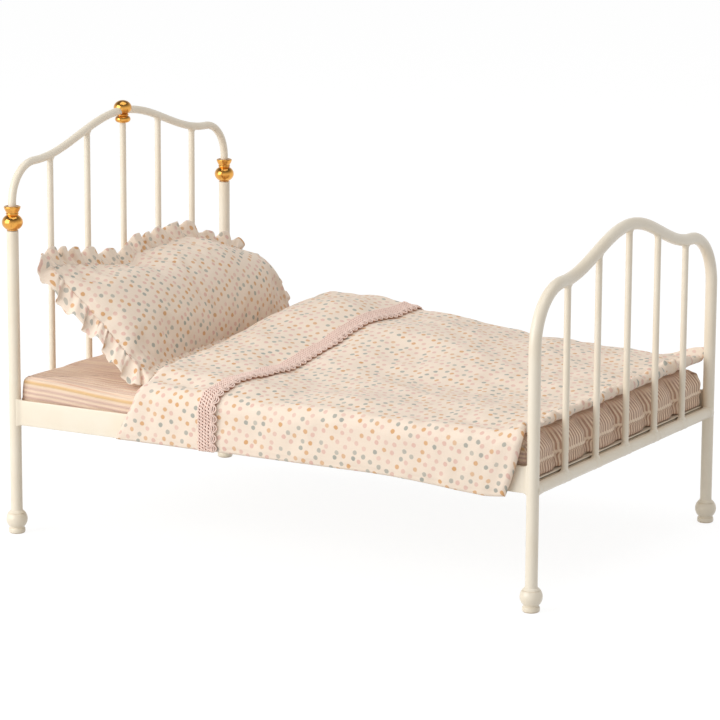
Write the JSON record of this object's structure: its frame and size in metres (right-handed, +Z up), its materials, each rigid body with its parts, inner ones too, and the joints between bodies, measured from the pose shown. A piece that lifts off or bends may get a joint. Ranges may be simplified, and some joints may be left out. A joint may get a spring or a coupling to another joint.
{
  "type": "miniature metal bedstead with bedding",
  "caption": "Miniature tube bedstead with arched head and foot boards, upright spindles and turned brass beads, dressed with a mattress, a folded-back duvet and a ruffled pillow.",
  "frame": {"origin": "on the floor, under the middle of the bed", "axes": "+X runs from the headboard to the footboard, +Y to the far long side, +Z up"},
  "size_m": [0.223, 0.16, 0.1549],
  "materials": {
    "cream_enamel": "satin cream paint over steel",
    "polished_brass": "polished",
    "striped_ticking": "ribbed striped weave",
    "dotted_cotton": "cotton printed with small dots",
    "pink_crochet": "crocheted edging"
  },
  "bodies": {
    "frame": {"head_post_near": "cream_enamel", "head_post_far": "cream_enamel", "head_hoop": "cream_enamel", "head_crossbar": "cream_enamel", "head_spindle_1": "cream_enamel", "head_spindle_2": "cream_enamel", "head_spindle_3": "cream_enamel", "head_spindle_4": "cream_enamel", "head_spindle_5": "cream_enamel", "head_foot_near": "cream_enamel", "head_foot_far": "cream_enamel", "head_collar_near": "polished_brass", "head_collar_far": "polished_brass", "head_finial": "polished_brass", "foot_hoop": "cream_enamel", "foot_crossbar": "cream_enamel", "foot_spindle_1": "cream_enamel", "foot_spindle_2": "cream_enamel", "foot_spindle_3": "cream_enamel", "foot_spindle_4": "cream_enamel", "foot_spindle_5": "cream_enamel", "foot_foot_near": "cream_enamel", "foot_foot_far": "cream_enamel", "rail_near": "cream_enamel", "rail_far": "cream_enamel", "base_panel": "cream_enamel"},
    "mattress": {"mattress": "striped_ticking"},
    "duvet": {"duvet": "dotted_cotton", "duvet_lace": "pink_crochet"},
    "pillow": {"pillow": "dotted_cotton", "pillow_ruffle": "dotted_cotton"}
  },
  "joints": [
    {"name": "mattress_lift", "type": "slide", "parent": "frame", "child": "mattress", "axis": [0, 0, 1], "range_m": [0, 0.115]},
    {"name": "duvet_lift", "type": "slide", "parent": "mattress", "child": "duvet", "axis": [0, 0, 1], "range_m": [0, 0.09]},
    {"name": "pillow_lift", "type": "slide", "parent": "mattress", "child": "pillow", "axis": [0, 0, 1], "range_m": [0, 0.1]}
  ]
}
